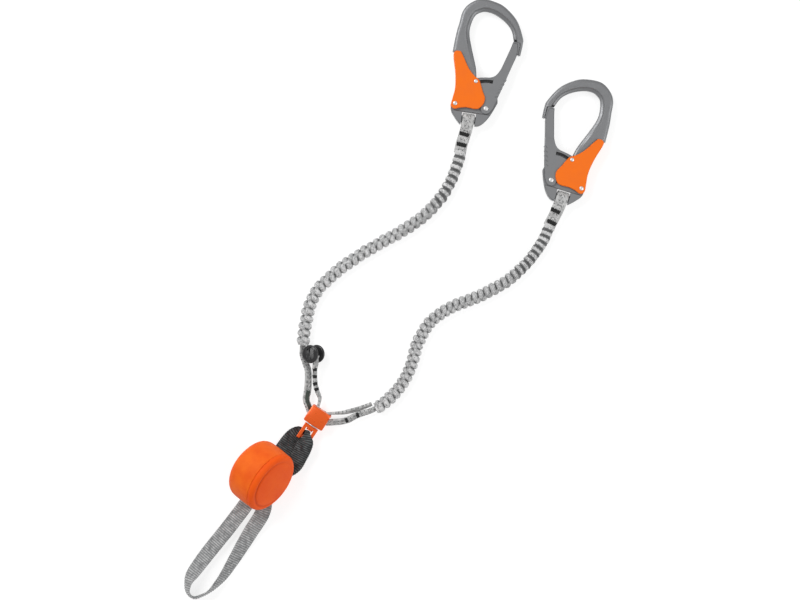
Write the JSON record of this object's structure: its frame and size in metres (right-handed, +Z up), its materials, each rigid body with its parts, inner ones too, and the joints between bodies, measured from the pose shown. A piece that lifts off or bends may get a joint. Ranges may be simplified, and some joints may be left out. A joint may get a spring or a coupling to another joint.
{
  "type": "via ferrata lanyard",
  "caption": "Via ferrata lanyard: palm-lever carabiners on pleated elastic arms, joined by a swivel to a tear-webbing shock absorber in a pouch with a tie-in loop.",
  "frame": {"origin": "centre of the bounding box in plan, on the surface that the lanyard lies on", "axes": "+Z up from the surface, +Y towards the carabiners' crowns as laid out, +X to the right of the layout seen from above"},
  "size_m": [0.471, 0.6584, 0.0659],
  "materials": {
    "alloy": "bead blasted grey anodised",
    "lever_plastic": "moulded, satin",
    "steel": "bright",
    "orange_alloy": "anodised, glossy",
    "light_webbing": "woven",
    "tie_webbing": "ribbed weave",
    "black_webbing": "ribbed weave",
    "pouch_fabric": "coated",
    "button_plastic": "moulded"
  },
  "bodies": {
    "arms_and_swivel_head": {"swivel_head": "orange_alloy", "swivel_axle": "steel", "left_elastic_arm": "light_webbing", "right_elastic_arm": "light_webbing", "left_carabiner_eye": "light_webbing", "right_carabiner_eye": "light_webbing", "left_swivel_loop": "light_webbing", "right_swivel_loop": "light_webbing", "keeper_button_front": "button_plastic", "keeper_button_back": "button_plastic", "keeper_button_core": "button_plastic"},
    "left_carabiner": {"left_frame": "alloy", "left_gate_rivet": "steel", "left_lever_rivet": "steel", "left_gate_spring": "steel", "left_lever_spring": "steel"},
    "left_gate_body": {"left_gate": "alloy"},
    "left_lever_body": {"left_palm_lever": "lever_plastic", "left_lock_pin": "steel"},
    "right_carabiner": {"right_frame": "alloy", "right_gate_rivet": "steel", "right_lever_rivet": "steel", "right_gate_spring": "steel", "right_lever_spring": "steel"},
    "right_gate_body": {"right_gate": "alloy"},
    "right_lever_body": {"right_palm_lever": "lever_plastic", "right_lock_pin": "steel"},
    "pouch_and_tie_in": {"swivel_shackle": "orange_alloy", "swivel_washer": "steel", "link_webbing": "black_webbing", "pouch_shell": "pouch_fabric", "pouch_lid": "pouch_fabric", "tear_webbing_pack": "black_webbing", "tie_in_loop": "tie_webbing"}
  },
  "joints": [
    {"name": "left_carabiner_swing", "type": "hinge", "parent": "arms_and_swivel_head", "child": "left_carabiner", "pos_m": [0.0746, 0.1972, 0.0093], "axis": [0.989, -0.1478, 0], "range_deg": [-60, 60]},
    {"name": "left_gate_hinge", "type": "hinge", "parent": "left_carabiner", "child": "left_gate_body", "pos_m": [0.09377, 0.20909, 0.0093], "axis": [0, 0, 1], "range_deg": [0, 30], "stiffness_Nm_per_rad": 0.05, "springref_deg": -17.19, "deforming": ["left_gate_spring"]},
    {"name": "left_palm_lever_hinge", "type": "hinge", "parent": "left_carabiner", "child": "left_lever_body", "pos_m": [0.06012, 0.21468, 0.0093], "axis": [0, 0, -1], "range_deg": [0, 4], "stiffness_Nm_per_rad": 0.2, "springref_deg": -17.19, "deforming": ["left_lever_spring"]},
    {"name": "right_carabiner_swing", "type": "hinge", "parent": "arms_and_swivel_head", "child": "right_carabiner", "pos_m": [0.1774, 0.112, 0.0093], "axis": [-0.9578, 0.2874, 0], "range_deg": [-60, 60]},
    {"name": "right_gate_hinge", "type": "hinge", "parent": "right_carabiner", "child": "right_gate_body", "pos_m": [0.16512, 0.13092, 0.0093], "axis": [0, 0, -1], "range_deg": [0, 30], "stiffness_Nm_per_rad": 0.05, "springref_deg": -17.19, "deforming": ["right_gate_spring"]},
    {"name": "right_palm_lever_hinge", "type": "hinge", "parent": "right_carabiner", "child": "right_lever_body", "pos_m": [0.19795, 0.12165, 0.0093], "axis": [0, 0, 1], "range_deg": [0, 4], "stiffness_Nm_per_rad": 0.2, "springref_deg": -17.19, "deforming": ["right_lever_spring"]},
    {"name": "swivel_turn", "type": "hinge", "parent": "arms_and_swivel_head", "child": "pouch_and_tie_in", "pos_m": [-0.09562, -0.13676, 0.009], "axis": [0.5534, 0.8329, 0], "continuous": true}
  ]
}
